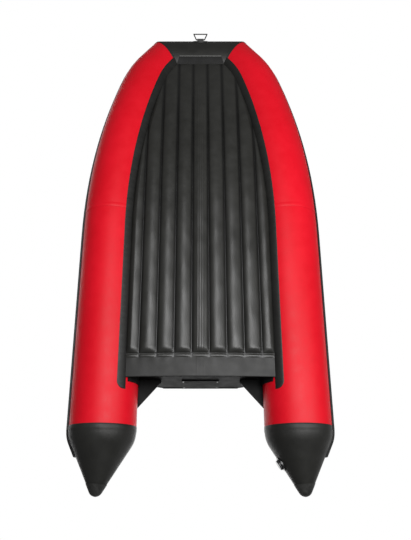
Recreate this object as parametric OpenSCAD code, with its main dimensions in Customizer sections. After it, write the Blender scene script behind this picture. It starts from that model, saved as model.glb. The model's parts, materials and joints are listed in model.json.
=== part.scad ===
/* [Tubes] */
// Outer radius of the side tubes and the bow tube
tube_r = 190; // [170:1:230]
// Wall of the coated fabric that the tubes, cones and floor are made of
skin = 1; // [0.8:0.1:2]
// Distance from the centreline of the boat to each side tube's axis
tube_x = 551.8; // [500:1:700]
// Straight length of each side tube, from the cone seam forward
straight_len = 1200; // [900:10:1600]
// Radius of the long, gentle bend of a side tube
bend1_r = 3770; // [3000:10:5000]
// Angle that the long bend turns through
bend1_deg = 18.5; // [14:0.1:22]
// Radius of the tighter bend near the bow
bend2_r = 672; // [500:1:1000]
// Angle that the tighter bend turns through
bend2_deg = 15.1; // [10:0.1:20]
// Straight length between the tighter bend and the mitred bow corner
stub_len = 122; // [115:1:200]
// Tilt of the plane in which the side tubes bend, which lifts the bow
sheer_deg = 27.6; // [20:0.1:32]
// Distance along the tube from the cone seam to the joint between its two panels
panel_s = 1337; // [1250:1:1500]
// Width of a glued overlap between two panels
lap_w = 22; // [15:1:35]
// Rise of the domed baffle between two air chambers
baffle_rise = 55; // [30:1:90]

/* [Cones] */
// Length of a stern cone along its axis
cone_len = 347; // [320:1:420]
// Half angle of the straight part of a cone
cone_deg = 28.8; // [25:0.1:30]
// Radius with which a cone's side leaves the tube
cone_shoulder_r = 164; // [120:1:200]
// Outward turn of a cone's axis
cone_toe_deg = 3.2; // [0:0.1:5]
// Downward turn of a cone's axis
cone_droop_deg = 2.5; // [0:0.1:4]
// Length of the moulded cap on a cone's tip, along the axis
cone_cap_len = 62; // [45:1:80]

/* [Strake and tapes] */
// Height of the rubbing strake over the tube's skin
strake_h = 12.5; // [8:0.5:20]
// Width of the rubbing strake
strake_w = 48; // [36:1:70]
// Length of the strake that runs on over a cone
strake_tail = 150; // [100:1:170]
// Depth of the groove along the strake
strake_groove = 2.5; // [1:0.5:4]
// Angle from the tube's lowest line to the tape's outer edge
tape_deg = 28; // [24:0.5:32]
// Width of the tape between the tube and the floor
tape_w = 44; // [30:1:60]
// Distance from the cone seam to the tape's aft end
tape_aft = 235; // [200:1:270]

/* [Floor] */
// Width of one inflated floor cell
cell_w = 100; // [90:1:110]
// Depth of a cell's bulge under the floor
cell_bulge = 18; // [10:0.5:22]
// Height of a cell's bulge over the floor
top_bulge = 13; // [8:0.5:20]
// Height of the floor's lower seams over the ground at the keel
floor_z = 31; // [26:0.5:45]
// Distance between the floor's two skins at a seam
floor_thick = 70; // [50:1:80]
// Distance from the cone seam to the aft ends of the cells
floor_aft = 385; // [375:1:420]
// Distance from the cone seam to the flap's aft edge
flap_aft = 277; // [262:1:300]
// Width of each ridge of the keel tape
keel_ridge_w = 6; // [4:0.5:10]

/* [Transom] */
// Thickness of the transom board
board_t = 32; // [24:1:36]
// Height of the transom's top over the ground
board_top = 430; // [400:1:480]
// Height of the transom's lower edge over the ground
board_low = 62; // [55:1:90]
// Half width of the level top edge
board_half = 232; // [180:1:260]
// Distance from the cone seam to the aft face at the top edge
board_f = 283; // [270:1:320]
// Rake of the transom
rake_deg = 5; // [0:0.5:8]
// Thickness of the fabric holder between the board and a tube
holder_t = 6; // [4:0.5:10]
// Width of the motor plates
plate_w = 220; // [160:1:280]
// Height of the motor plates
plate_h = 165; // [120:1:200]
// Thickness of the motor plates
plate_t = 7; // [5:0.5:12]
// Height of the gusset plates over the ground
gusset_z = 250; // [220:1:280]
// Thickness of the gusset plates
gusset_t = 10; // [6:1:16]
// Length of a gusset along the tube
gusset_len = 170; // [120:1:200]

/* [Drain] */
// Bore radius of the transom drain
drain_r = 13; // [10:0.5:16]
// Distance of the drain from the centreline
drain_x = 250; // [150:1:300]
// Height of the drain over the ground
drain_z = 140; // [130:1:160]

/* [Valves] */
// Outer radius of a valve's moulded base
valve_base_r = 42; // [38:1:50]
// Outer radius of a valve's barrel
valve_barrel_r = 23; // [20:0.5:26]
// Radius of a valve's cap
valve_cap_r = 29; // [27:0.5:32]
// Height of a valve's cap
valve_cap_h = 11; // [9:0.5:14]

/* [Rowlocks] */
// Distance from the cone seam to the rowlocks
rowlock_f = 880; // [840:1:900]
// Radius of a rowlock's pin
pin_r = 6; // [5:0.5:8]
// Free height of the pin over its collar
pin_h = 62; // [45:1:80]
// Radius of a rowlock's rubber base
rowlock_base_r = 58; // [50:1:70]

/* [Benches] */
// Fore-and-aft width of a bench
bench_w = 200; // [160:1:220]
// Thickness of a bench board
bench_t = 18; // [15:1:22]
// Distance from the cone seam to the aft bench
aft_bench_f = 610; // [590:1:640]
// Distance from the cone seam to the fore bench
fore_bench_f = 1120; // [1110:1:1130]
// Angle of the bench tracks above the tube's inboard side
track_deg = 48; // [40:1:54]
// Radius of a track's bead
bead_r = 4; // [3:0.5:5]

/* [Tow ring and handles] */
// Angle of the towing eye below the bow tube's foremost line
eye_deg = 43; // [38:1:50]
// Width of the towing ring across its lower bar
ring_w = 104; // [80:1:120]
// Length of the towing ring below its pivot
ring_len = 56; // [45:1:70]
// Wire radius of the towing ring
ring_wire_r = 4; // [3:0.5:5]
// Half width of the towing eye's strap
eye_half = 24; // [20:1:28]
// Span of a carry handle between its feet
handle_span = 190; // [150:1:220]
// Height of a carry handle's grip over the tube
handle_rise = 42; // [35:1:55]
// Distance from the cone seam to the side handles
handle_f = 1760; // [1600:1:1900]

/* [Fits] */
// Gap between lapped or seated pieces
gap = 0.2; // [0.1:0.05:0.3]
// Gap between pieces that move on each other
slide_gap = 0.4; // [0.3:0.05:0.6]
// Radial clearance of a pin in its bore
pin_gap = 0.06; // [0.03:0.01:0.1]

/* [Hidden] */
$fn = 96;
fine = 240;
big = 3000;

red = [0.78, 0.09, 0.12];
black = [0.13, 0.13, 0.13];
grey = [0.3, 0.3, 0.31];
steel = [0.72, 0.73, 0.75];

sweep_gap = 0.02;
patch_t = 3;
eye_wall = 4;
pivot_z = patch_t + gap + eye_wall + ring_wire_r;
cap_wall = 2;
strake_crest = 0.3;

// Transom pieces
wing_drop = 110;
wing_step = 20;
holder_fore = 46;
holder_aft = 26;
plate_drop = 14;
screw_edge = 9;
screw_drop = 18;
screw_r = 3;
screw_head_r = 6;
screw_rim_h = 1.5;
screw_dome_h = 1.8;
screw_sink = screw_rim_h + screw_dome_h + 0.4;
groove_w = 4;
groove_depth = 1.5;
drain_wall = 3;
drain_flange_w = 13;
drain_flange_t = 4;
web_seat = 0.5;

// Valve pieces, measured from a valve's seat
valve_low = -26;
valve_rim = 5;
valve_wall = 4;
valve_seat_w = 8;
stem_r = 2.5;
valve_foot_t = 2.5;
side_valve_f = 470;
side_valve_deg = 75;

// Rowlock pieces
rowlock_foot_t = 4;
rowlock_neck_r = 26;
rowlock_step_h = 14;

// Tube path. A tube leaves the cone seam heading forward (-Y) and bends inward in a tilted plane.
turn = bend1_deg + bend2_deg;
function unit(v) = v / norm(v);
function heading(t) = [-sin(t) * cos(sheer_deg), -cos(t), sin(t) * sin(sheer_deg)];
function outward(t) = [cos(t) * cos(sheer_deg), -sin(t), -cos(t) * sin(sheer_deg)];
plane_up = [sin(sheer_deg), 0, cos(sheer_deg)];
panel_deg = (panel_s - straight_len) / bend1_r * 180 / PI;
tube_z = tube_r + gap + skin;
path_seam = [tube_x, 0, tube_z];
path_a = path_seam + straight_len * heading(0);
path_b = path_a + bend1_r * (outward(bend1_deg) - outward(0));
path_c = path_b + bend2_r * (outward(turn) - outward(bend1_deg));
path_corner = path_c + stub_len * heading(turn);
mitre = unit(heading(turn) + [-1, 0, 0]);
function mirrored(e) = e - 2 * (e * mitre) * mitre;

// Direction from a tube's axis to its skin, a degrees up from straight outboard, at heading t.
function spoke(a, t) = cos(a + sheer_deg) * outward(t) + sin(a + sheer_deg) * plane_up;
function bow_deg(a) = let (e = mirrored(spoke(a, turn))) atan2(e.z, -e.y);

// The whole boat is shifted along Y so that the origin is the middle of its length.
bow_front = -path_corner.y + (tube_r + strake_h) * cos(bow_deg(0))
  + strake_w * strake_crest * sin(bow_deg(0));
cone_line_r = tube_r + cone_shoulder_r * tan(cone_deg / 2) * tan(cone_deg);
tip_r = (cone_line_r - cone_len * tan(cone_deg)) / (1 / cos(cone_deg) - tan(cone_deg));
function cone_profile(r_off) = concat(
  [for (i = [0 : 6]) let (a = cone_deg * i / 6)
    [tube_r - cone_shoulder_r * (1 - cos(a)) + r_off * cos(a), cone_shoulder_r * sin(a) + r_off * sin(a)]],
  [for (i = [0 : 5]) let (a = cone_deg + (90 - cone_deg) * i / 6)
    [(tip_r + r_off) * cos(a), cone_len - tip_r + (tip_r + r_off) * sin(a)]],
  [[(tip_r + r_off) * cos(84), cone_len + r_off], [0, cone_len + r_off]]);

ring_front = -path_corner.y + (tube_r + pivot_z) * cos(eye_deg) + ring_wire_r;
cone_reach = (cone_len - tip_r) * cos(cone_toe_deg) * cos(cone_droop_deg) + tip_r + gap + cap_wall;
seam_y = (max(bow_front, ring_front) - cone_reach) / 2;

track_f0 = 400;
track_f1 = 1240;

// Placement
module boat() { translate([0, seam_y, 0]) children(); }
module starboard() { mirror([1, 0, 0]) children(); }
module side_path() { boat() translate(path_seam) rotate([0, sheer_deg, 0]) children(); }
module past_arc(r, t) { translate([-r, 0, 0]) rotate([0, 0, -t]) translate([r, 0, 0]) children(); }
module past_straight(l) { translate([0, -l, 0]) children(); }
module at_bend1() { side_path() past_straight(straight_len) children(); }
module at_bend2() { at_bend1() past_arc(bend1_r, bend1_deg) children(); }
module at_stub() { at_bend2() past_arc(bend2_r, bend2_deg) children(); }
module at_bow() { boat() translate([0, path_corner.y, path_corner.z]) children(); }
module at_cone() {
  boat() translate(path_seam) rotate([-cone_droop_deg, 0, -cone_toe_deg]) rotate([-90, 0, 0]) children();
}

// Sweeps of a section whose X points outboard in the bend's plane and whose Y points up in it.
module straight(l) { rotate([90, 0, 0]) linear_extrude(l) children(); }
module arc(r, t) {
  translate([-r, 0, 0]) rotate([0, 0, -t]) rotate_extrude(angle = t, $fn = 240) translate([r, 0]) children();
}
module along_bow(l) {
  rotate([90, 0, 90]) translate([0, 0, -l]) linear_extrude(2 * l) mirror([1, 0]) children();
}
module past_mitre(side) {
  boat() translate(path_corner) rotate([0, acos(mitre.z), atan2(mitre.y, mitre.x)])
    translate([-big / 2, -big / 2, side > 0 ? 0 : -big]) cube(big);
}
module trim_to_side() { difference() { children(); past_mitre(1); } }
module trim_to_bow() {
  difference() {
    children();
    past_mitre(-1);
    starboard() past_mitre(-1);
  }
}

// Sections
module ring(r_out, r_in) { difference() { circle(r_out, $fn = fine); circle(r_in, $fn = fine); } }
module band(r, t, a0, a1) {
  intersection() {
    ring(r + t, r);
    polygon(concat([[0, 0]],
      [for (i = [0 : 4]) let (a = a0 + (a1 - a0) * i / 4) 2 * r * [cos(a), sin(a)]]));
  }
}
module strake_section(a) {
  crest = strake_w * strake_crest;
  rotate(a) difference() {
    polygon([
      [tube_r - 6, -strake_w / 2], [tube_r + strake_h / 2, -strake_w / 2], [tube_r + strake_h, -crest],
      [tube_r + strake_h, -3], [tube_r + strake_h - strake_groove, 0], [tube_r + strake_h, 3],
      [tube_r + strake_h, crest], [tube_r + strake_h / 2, strake_w / 2], [tube_r - 6, strake_w / 2]
    ]);
    circle(over_lap_r);
  }
}
over_lap_r = tube_r + 2 * gap + skin;
tape_span = tape_w / tube_r * 180 / PI;
module tape_section(a) { band(over_lap_r, skin, a, a + tape_span); }

// Valve frames: the origin lies on the skin and +Z points out of it.
module port_valve_frame() {
  z = cone_len * 0.5;
  r = cone_line_r - z * tan(cone_deg);
  at_cone() translate([-r, 0, z]) rotate([0, cone_deg - 90, 0]) children();
}
module starboard_valve_frame() {
  starboard() boat() translate([tube_x, -side_valve_f, tube_z]) rotate([0, -side_valve_deg, 0])
    translate([0, 0, tube_r]) children();
}
module bow_valve_frame() { at_bow() rotate([-65, 0, 0]) translate([0, 0, tube_r]) children(); }
floor_valve_x = 2 * cell_w;
floor_valve_f = 500;
module floor_valve_frame() {
  boat() translate([floor_valve_x, -floor_valve_f, floor_height(1, floor_valve_x, floor_valve_f) + skin])
    children();
}
module valve_hole() { translate([0, 0, -40]) cylinder(r = valve_barrel_r + gap, h = 60); }

// Tubes
module port_aft_tube() {
  color(red) {
    side_path() straight(straight_len - sweep_gap) ring(tube_r, tube_r - skin);
    at_bend1() arc(bend1_r, panel_deg) ring(tube_r, tube_r - skin);
  }
}
module starboard_aft_tube() {
  color(red) difference() {
    starboard() port_aft_tube();
    starboard_valve_frame() valve_hole();
  }
}
lap_deg = lap_w / bend1_r * 180 / PI;
module port_fore_tube() {
  color(red) trim_to_side() {
    at_bend1() past_arc(bend1_r, panel_deg) arc(bend1_r, bend1_deg - panel_deg) ring(tube_r, tube_r - skin);
    at_bend1() past_arc(bend1_r, panel_deg - lap_deg / 2) arc(bend1_r, lap_deg)
      ring(tube_r + gap + skin, tube_r + gap);
    at_bend2() arc(bend2_r, bend2_deg) ring(tube_r, tube_r - skin);
    at_stub() straight(stub_len + tube_r) ring(tube_r, tube_r - skin);
  }
}
module starboard_fore_tube() { starboard() port_fore_tube(); }
module bow_tube() {
  color(black) difference() {
    trim_to_bow() at_bow() along_bow(path_corner.x + tube_r) ring(tube_r, tube_r - skin);
    bow_valve_frame() valve_hole();
  }
}
module port_baffle() {
  dome_r = (pow(tube_r - skin - gap, 2) + baffle_rise * baffle_rise) / (2 * baffle_rise);
  color(grey) at_bend1() past_arc(bend1_r, panel_deg) rotate([90, 0, 0]) difference() {
    intersection() {
      translate([0, 0, baffle_rise - dome_r]) sphere(dome_r);
      cylinder(r = tube_r - skin - gap, h = baffle_rise);
    }
    translate([0, 0, baffle_rise - dome_r]) sphere(dome_r - skin);
  }
}
module starboard_baffle() { starboard() port_baffle(); }

// Cones
module cone_solid(r_off) {
  rotate_extrude() polygon(concat([[0, -40], [tube_r + r_off, -40]], cone_profile(r_off), [[0, 0]]));
}
module cone_shell() {
  difference() {
    at_cone() cone_solid(0);
    at_cone() cone_solid(-skin);
    boat() translate([0, -big, -big / 2]) cube(big);
  }
  boat() translate([tube_x, -sweep_gap, tube_z]) straight(lap_w) ring(tube_r + gap + skin, tube_r + gap);
}
module port_cone() {
  color(black) difference() {
    cone_shell();
    port_valve_frame() valve_hole();
  }
}
module starboard_cone() { color(black) starboard() cone_shell(); }
module port_cone_cap() {
  color(black) at_cone() difference() {
    cone_solid(gap + cap_wall);
    cone_solid(gap);
    translate([0, 0, -big + cone_len - cone_cap_len]) cylinder(r = big / 2, h = big);
  }
}
module starboard_cone_cap() { starboard() port_cone_cap(); }

// Strakes and tapes
module port_strake() {
  color(black) trim_to_side() {
    side_path() straight(straight_len) strake_section(sheer_deg);
    at_bend1() arc(bend1_r, bend1_deg) strake_section(sheer_deg);
    at_bend2() arc(bend2_r, bend2_deg) strake_section(sheer_deg);
    at_stub() straight(stub_len + tube_r) strake_section(sheer_deg);
    strake_tail();
  }
}
module strake_tail() {
  difference() {
    intersection() {
      at_cone() cone_solid(strake_h);
      at_cone() union() {
        translate([0, -strake_w * strake_crest, 1]) cube([big, 2 * strake_w * strake_crest, strake_tail]);
        intersection() {
          translate([0, -strake_w / 2, 1]) cube([big, strake_w, strake_tail]);
          cone_solid(strake_h / 2);
        }
      }
    }
    at_cone() cone_solid(gap);
    boat() translate([tube_x, -lap_w, tube_z]) rotate([-90, 0, 0])
      cylinder(r = over_lap_r, h = lap_w + 2 + gap, $fn = fine);
    boat() translate([0, -big + gap, -big / 2]) cube(big);
  }
}
module starboard_strake() { starboard() port_strake(); }
module bow_strake() {
  color(black) trim_to_bow() at_bow() along_bow(path_corner.x + tube_r) strake_section(bow_deg(0));
}
module port_floor_tape() {
  a = sheer_deg - 90 - tape_deg - tape_span;
  color(grey) trim_to_side() {
    side_path() past_straight(tape_aft) straight(straight_len - tape_aft) tape_section(a);
    at_bend1() arc(bend1_r, bend1_deg) tape_section(a);
    at_bend2() arc(bend2_r, bend2_deg) tape_section(a);
    at_stub() straight(stub_len + tube_r) tape_section(a);
  }
}
module starboard_floor_tape() { starboard() port_floor_tape(); }
module bow_floor_tape() {
  a = bow_deg(-90 - tape_deg - tape_span);
  color(grey) trim_to_bow() at_bow() along_bow(path_corner.x + tube_r) tape_section(a);
}

// Floor. A sheet is a grid of points between the tubes. Its sides follow a line at a fixed angle
// round the tube's section, and its cells run straight along the boat.
lower_deg = -90 - tape_deg - tape_span - 1.7;
upper_deg = -90 - 62;
edge_r = tube_r + gap + skin + 0.5;
grid = cell_w / 6;
arc1_r = function(a) bend1_r + edge_r * cos(a + sheer_deg);
arc2_r = function(a) bend2_r + edge_r * cos(a + sheer_deg);
function lift(a) = edge_r * sin(a + sheer_deg) * plane_up;
function arc1_mid(a) = path_a - bend1_r * outward(0) + lift(a);
function arc2_mid(a) = path_b - bend2_r * outward(bend1_deg) + lift(a);
function on_arc1(a, t) = arc1_mid(a) + arc1_r(a) * outward(t);
function on_arc2(a, t) = arc2_mid(a) + arc2_r(a) * outward(t);
function edge_at(a, f) =
  f < straight_len ? [tube_x + edge_r * cos(a), -f, tube_z + edge_r * sin(a)]
  : f < -on_arc1(a, bend1_deg).y ? on_arc1(a, asin((f + arc1_mid(a).y) / arc1_r(a)))
  : f < -on_arc2(a, turn).y ? on_arc2(a, asin((f + arc2_mid(a).y) / arc2_r(a)))
  : let (s = (f + on_arc2(a, turn).y) / cos(turn)) on_arc2(a, turn) + s * heading(turn);
function fore_of(a, x) =
  x > on_arc1(a, bend1_deg).x ? -on_arc1(a, acos((x - arc1_mid(a).x) / arc1_r(a) / cos(sheer_deg))).y
  : x > on_arc2(a, turn).x ? -on_arc2(a, acos((x - arc2_mid(a).x) / arc2_r(a) / cos(sheer_deg))).y
  : let (p = on_arc2(a, turn), s = (p.x - x) / (sin(turn) * cos(sheer_deg))) -(p + s * heading(turn)).y;
function corner_at(a) =
  let (e = edge_r * spoke(a, turn), t = heading(turn)) path_corner + e - (e * mitre) / (t * mitre) * t;

function side_x(a) = tube_x + edge_r * cos(a);
function last_cell(x) = ceil(x / grid - 0.25) - 1;
function stations(a) =
  let (n = last_cell(side_x(a)) + 1, c = corner_at(a), m = last_cell(c.x) + 1,
    turn_in = fore_of(a, (n - 1) * grid) - straight_len)
  concat(
    [for (f = [floor_aft, floor_aft + 12, floor_aft + 40, straight_len, straight_len + turn_in / 3,
      straight_len + turn_in * 2 / 3])
      [f, n, edge_at(a, f).x]],
    [for (k = [n - 1 : -1 : m]) if (k * grid > c.x + 3) [fore_of(a, k * grid), k, k * grid]],
    [[-c.y, m, c.x]]);

// Height of a seam of the lower sheet (upper = 0) or the upper sheet (upper = 1) over the ground.
function sheet_deg(upper) = upper ? upper_deg : lower_deg;
function sheet_mid(upper, f) =
  let (c = corner_at(sheet_deg(upper)), z0 = floor_z + upper * floor_thick,
    t = max(0, (f - straight_len) / (-c.y - straight_len)))
  z0 + (c.z - z0) * t * t;
function seam_height(upper, x, f, half) =
  let (mid = sheet_mid(upper, f), z_side = edge_at(sheet_deg(upper), f).z)
  mid + (z_side - mid) * pow(min(1, abs(x) / half), 2);
function bulge(upper, x, f, half) =
  let (c = corner_at(sheet_deg(upper)), full = upper ? top_bulge : -cell_bulge,
    near_side = min(1, (half - abs(x)) / (cell_w / 4)),
    near_end = min(1, (f - floor_aft) / 40),
    near_bow = min(1, max(0, (-c.y - f) / 500)))
  full * abs(cos(180 * x / cell_w)) * max(0, near_side) * sqrt(near_end) * near_bow;
function floor_height(upper, x, f) =
  let (half = edge_at(sheet_deg(upper), f).x) seam_height(upper, x, f, half) + bulge(upper, x, f, half);

module sheet(upper) {
  rows = stations(sheet_deg(upper));
  last = len(rows) - 1;
  starts = [for (r = 0, s = 0; r <= last; s = s + 2 * rows[r][1] + 1, r = r + 1) s];
  count = starts[last] + 2 * rows[last][1] + 1;
  low = [for (row = rows, i = [-row[1] : row[1]])
    let (x = abs(i) == row[1] ? sign(i) * row[2] : i * grid)
    [x, -row[0], seam_height(upper, x, row[0], row[2]) + bulge(upper, x, row[0], row[2])]];
  high = [for (p = low) p + [0, 0, skin]];
  function at(r, i) = starts[r] + i + rows[r][1];
  faces_up = [for (r = [0 : last - 1])
    let (k = rows[r + 1][1], wider = rows[r][1] > k)
    each concat(
      [for (i = [-k : k - 1], h = [0, 1])
        h == 0 ? [at(r, i), at(r, i + 1), at(r + 1, i + 1)] : [at(r, i), at(r + 1, i + 1), at(r + 1, i)]],
      wider ? [[at(r, -k - 1), at(r, -k), at(r + 1, -k)], [at(r, k), at(r, k + 1), at(r + 1, k)]] : [])];
  rim = concat(
    [for (i = [-rows[0][1] : rows[0][1]]) at(0, i)],
    [for (r = [1 : last]) at(r, rows[r][1])],
    [for (i = [rows[last][1] - 1 : -1 : -rows[last][1]]) at(last, i)],
    [for (r = [last - 1 : -1 : 1]) at(r, -rows[r][1])]);
  walls = [for (i = [0 : len(rim) - 1], h = [0, 1])
    let (a = rim[i], b = rim[(i + 1) % len(rim)])
    h == 0 ? [a + count, a, b] : [a + count, b, b + count]];
  boat() polyhedron(
    concat(low, high),
    concat([for (t = faces_up) t + [count, count, count]], [for (t = faces_up) [t[2], t[1], t[0]]], walls));
}
module floor_bottom_skin() { color(black) sheet(0); }
module floor_top_skin() {
  color(grey) difference() {
    sheet(1);
    floor_valve_frame() valve_hole();
  }
}
module floor_webs() {
  fs = [for (row = stations(lower_deg)) row[0]];
  color(grey) boat() for (n = [0.5 : 1 : 3.5], side = [-1, 1]) {
    x = n * cell_w;
    near = [for (f = fs) if (edge_at(upper_deg, f).x > x + 12 && f < -corner_at(upper_deg).y - 20) f];
    rotate([90, 0, -90]) translate([0, 0, side * x - skin / 2]) linear_extrude(skin) polygon(concat(
      [for (f = near) [f, floor_height(0, x, f) + skin + gap]],
      [for (i = [len(near) - 1 : -1 : 0]) [near[i], floor_height(1, x, near[i]) - gap - web_seat]]));
  }
}
module floor_end_strip() {
  f = floor_aft;
  half = side_x(upper_deg) - 2;
  xs = [for (i = [-12 : 12]) half * i / 12];
  color(black) boat() translate([0, -f + gap + skin, 0]) rotate([90, 0, 0]) linear_extrude(skin)
    polygon(concat(
    [for (x = xs) [x, seam_height(0, x, f, side_x(lower_deg))]],
    [for (i = [24 : -1 : 0]) [xs[i], seam_height(1, xs[i], f, side_x(upper_deg)) + skin]]));
}
module stern_flap() {
  half = side_x(lower_deg) - 1;
  xs = [for (i = [-8 : 8]) half * i / 8];
  color(black) boat() translate([0, -flap_aft, 0]) rotate([90, 0, 0]) linear_extrude(floor_aft - flap_aft)
    polygon(concat(
    [for (x = xs) [x, seam_height(0, x, floor_aft, side_x(lower_deg)) - gap - skin - 0.4]],
    [for (i = [16 : -1 : 0]) [xs[i], seam_height(0, xs[i], floor_aft, side_x(lower_deg)) - gap]]));
}
module keel_tape() {
  fs = [for (row = stations(lower_deg)) if (row[0] > floor_aft + 20 && row[0] < 2300) row[0]];
  color(grey) boat() for (i = [-1 : 1]) {
    x = i * grid;
    rotate([90, 0, -90]) translate([0, 0, x - keel_ridge_w / 2]) linear_extrude(keel_ridge_w) polygon(concat(
      [for (f = fs) [f, floor_height(0, x, f) - gap - 1.6 - abs(i)]],
      [for (j = [len(fs) - 1 : -1 : 0]) [fs[j], floor_height(0, x, fs[j]) - gap - abs(i)]]));
  }
}

// Transom. Its local frame has the origin on the aft face at the top edge, Y forward to aft, Z up the board.
module at_transom() { boat() translate([0, -board_f, board_top]) rotate([-rake_deg, 0, 0]) children(); }
holder_r = tube_r + gap + holder_t;
wing_x = 405;
module tube_bar(r) {
  boat() translate([tube_x, big / 2, tube_z]) rotate([90, 0, 0]) cylinder(r = r, h = big, $fn = fine);
}
module bow_bar(r) { at_bow() rotate([0, 90, 0]) cylinder(r = r, h = 700, center = true, $fn = fine); }
module transom_board() {
  depth = (board_top - board_low) / cos(rake_deg);
  wing_end = wing_x + wing_step;
  outline = [[0, 0], [board_half, 0], [wing_x, -wing_drop], [wing_end, -wing_drop - 2 * wing_step],
    [wing_end, -depth], [0, -depth]];
  color(black) difference() {
    at_transom() rotate([90, 0, 0]) linear_extrude(board_t)
      polygon(concat(outline, [for (i = [5 : -1 : 1]) [-outline[i].x, outline[i].y]]));
    tube_bar(holder_r + gap);
    starboard() tube_bar(holder_r + gap);
    drain_frame() translate([0, 0, -60]) cylinder(r = drain_r + drain_wall + gap, h = 120);
  }
}
module transom_trim() {
  trim_t = 2;
  trim_h = 10;
  color(black) at_transom() difference() {
    translate([-board_half + trim_t, -board_t - trim_t - gap, -trim_h])
      cube([2 * (board_half - trim_t), board_t + 2 * (trim_t + gap), trim_h + trim_t + 0.5]);
    translate([-big / 2, -board_t - gap, -2 * trim_h]) cube([big, board_t + 2 * gap, 2 * trim_h + gap]);
  }
}
// A motor plate is grooved across its face, and its four screws are sunk under that face.
module plate() {
  color(black) difference() {
    translate([-plate_w / 2, 0, -plate_h - plate_drop]) cube([plate_w, plate_t, plate_h]);
    for (i = [1 : 5])
      translate([-plate_w / 2 + 15, plate_t - groove_depth, -plate_drop - plate_h * i / 6 - groove_w / 2])
        cube([plate_w - 30, plate_t, groove_w]);
    at_plate_screws() {
      translate([0, 0, -plate_t]) cylinder(r = screw_r + gap, h = 3 * plate_t);
      translate([0, 0, plate_t - screw_sink]) cylinder(r = screw_head_r + 2 * gap, h = plate_t);
    }
  }
}
module at_plate_screws() {
  for (x = [-1, 1], z = [screw_drop, plate_h - screw_drop])
    translate([x * (plate_w / 2 - screw_edge), 0, -plate_drop - z]) rotate([-90, 0, 0]) children();
}
module at_outer_plate() { at_transom() translate([0, gap, 0]) children(); }
module at_inner_plate() { at_transom() mirror([0, 1, 0]) translate([0, board_t + gap, 0]) children(); }
module outer_motor_plate() { at_outer_plate() plate(); }
module inner_motor_plate() { at_inner_plate() plate(); }
module plate_screws() {
  seat = plate_t - screw_sink;
  color(steel) at_plate_screws() {
    translate([0, 0, seat + gap]) cylinder(r = screw_head_r, h = screw_rim_h);
    translate([0, 0, seat + gap + screw_rim_h])
      cylinder(r1 = screw_head_r, r2 = screw_r + 0.5, h = screw_dome_h);
    cylinder(r = screw_r, h = seat + gap);
  }
}
module transom_screws() {
  at_outer_plate() plate_screws();
  at_inner_plate() plate_screws();
}
module port_transom_holder() {
  color(black) difference() {
    boat() translate([tube_x, -board_f - board_t - holder_fore, tube_z]) rotate([-90, 0, 0])
      linear_extrude(board_t + holder_fore + holder_aft) mirror([0, 1]) band(tube_r + gap, holder_t, 129, 221);
    tape_room();
  }
}
module tape_room() {
  boat() translate([tube_x, 0, tube_z]) rotate([90, 0, 0]) linear_extrude(straight_len)
    band(tube_r - 1, 4, -92 - tape_deg - tape_span, -88 - tape_deg);
}
module starboard_transom_holder() { starboard() port_transom_holder(); }
module port_gusset() {
  color(black) difference() {
    boat() translate([0, 0, gusset_z - gusset_t / 2]) linear_extrude(gusset_t)
      polygon([[board_half, -board_f - 40], [board_half, -board_f + 2], [board_half + 10, -board_f + 10],
        [tube_x - tube_r + 24, -board_f + gusset_len], [tube_x, -board_f + gusset_len],
        [tube_x, -board_f - 40]]);
    tube_bar(tube_r + gap);
    tube_bar_short();
    at_transom() translate([-big / 2, -big + gap, -big / 2]) cube(big);
  }
}
module tube_bar_short() {
  boat() translate([tube_x, -board_f + holder_aft + gap, tube_z]) rotate([90, 0, 0])
    cylinder(r = holder_r + gap, h = 200, $fn = fine);
}
module starboard_gusset() { starboard() port_gusset(); }

// Drain
module drain_frame() {
  at_transom() translate([-drain_x, -board_t / 2, (drain_z - board_top) / cos(rake_deg)])
    rotate([90, 0, 0]) children();
}
module drain_body() {
  color(black) drain_frame() difference() {
    union() {
      translate([0, 0, -board_t / 2 - gap - drain_flange_t])
        cylinder(r = drain_r + drain_wall, h = board_t + 2 * (gap + drain_flange_t));
      for (end = [0, 1]) mirror([0, 0, end]) translate([0, 0, board_t / 2 + gap])
        cylinder(r = drain_r + drain_flange_w, h = drain_flange_t);
    }
    translate([0, 0, -board_t]) cylinder(r = drain_r, h = 2 * board_t);
  }
}
module drain_plug() {
  color(red) drain_frame() {
    rim = board_t / 2 + gap + drain_flange_t + 0.3;
    translate([0, 0, -4]) cylinder(r = drain_r - slide_gap / 2, h = rim + 4);
    translate([0, 0, rim]) cylinder(r = drain_r + 7, h = 5);
    translate([-3, -drain_r, rim + 5]) cube([6, 2 * drain_r, 9]);
  }
}

// Valves. Each is drawn with its seat at the origin.
module valve_body() {
  difference() {
    union() {
      translate([0, 0, valve_foot_t]) cylinder(r = valve_cap_r + 2, h = valve_rim - valve_foot_t);
      translate([0, 0, valve_low]) cylinder(r = valve_barrel_r, h = valve_rim - valve_low);
    }
    translate([0, 0, valve_low + 4]) cylinder(r = valve_barrel_r - valve_wall, h = 60);
    translate([0, 0, valve_low - 1]) cylinder(r = valve_barrel_r - valve_seat_w, h = 60);
  }
  translate([0, 0, -8]) difference() {
    union() {
      cylinder(r = 6, h = 4);
      for (a = [0, 120, 240]) rotate(a) translate([0, -1.5, 0]) cube([valve_barrel_r - 3.5, 3, 4]);
    }
    translate([0, 0, -1]) cylinder(r = stem_r + pin_gap, h = 6);
  }
}
module valve_base() { translate([0, 0, -14]) cylinder(r = valve_base_r, h = 14 + valve_foot_t); }
module valve_base_hole() { translate([0, 0, -20]) cylinder(r = valve_barrel_r - 1, h = 40); }
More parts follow.
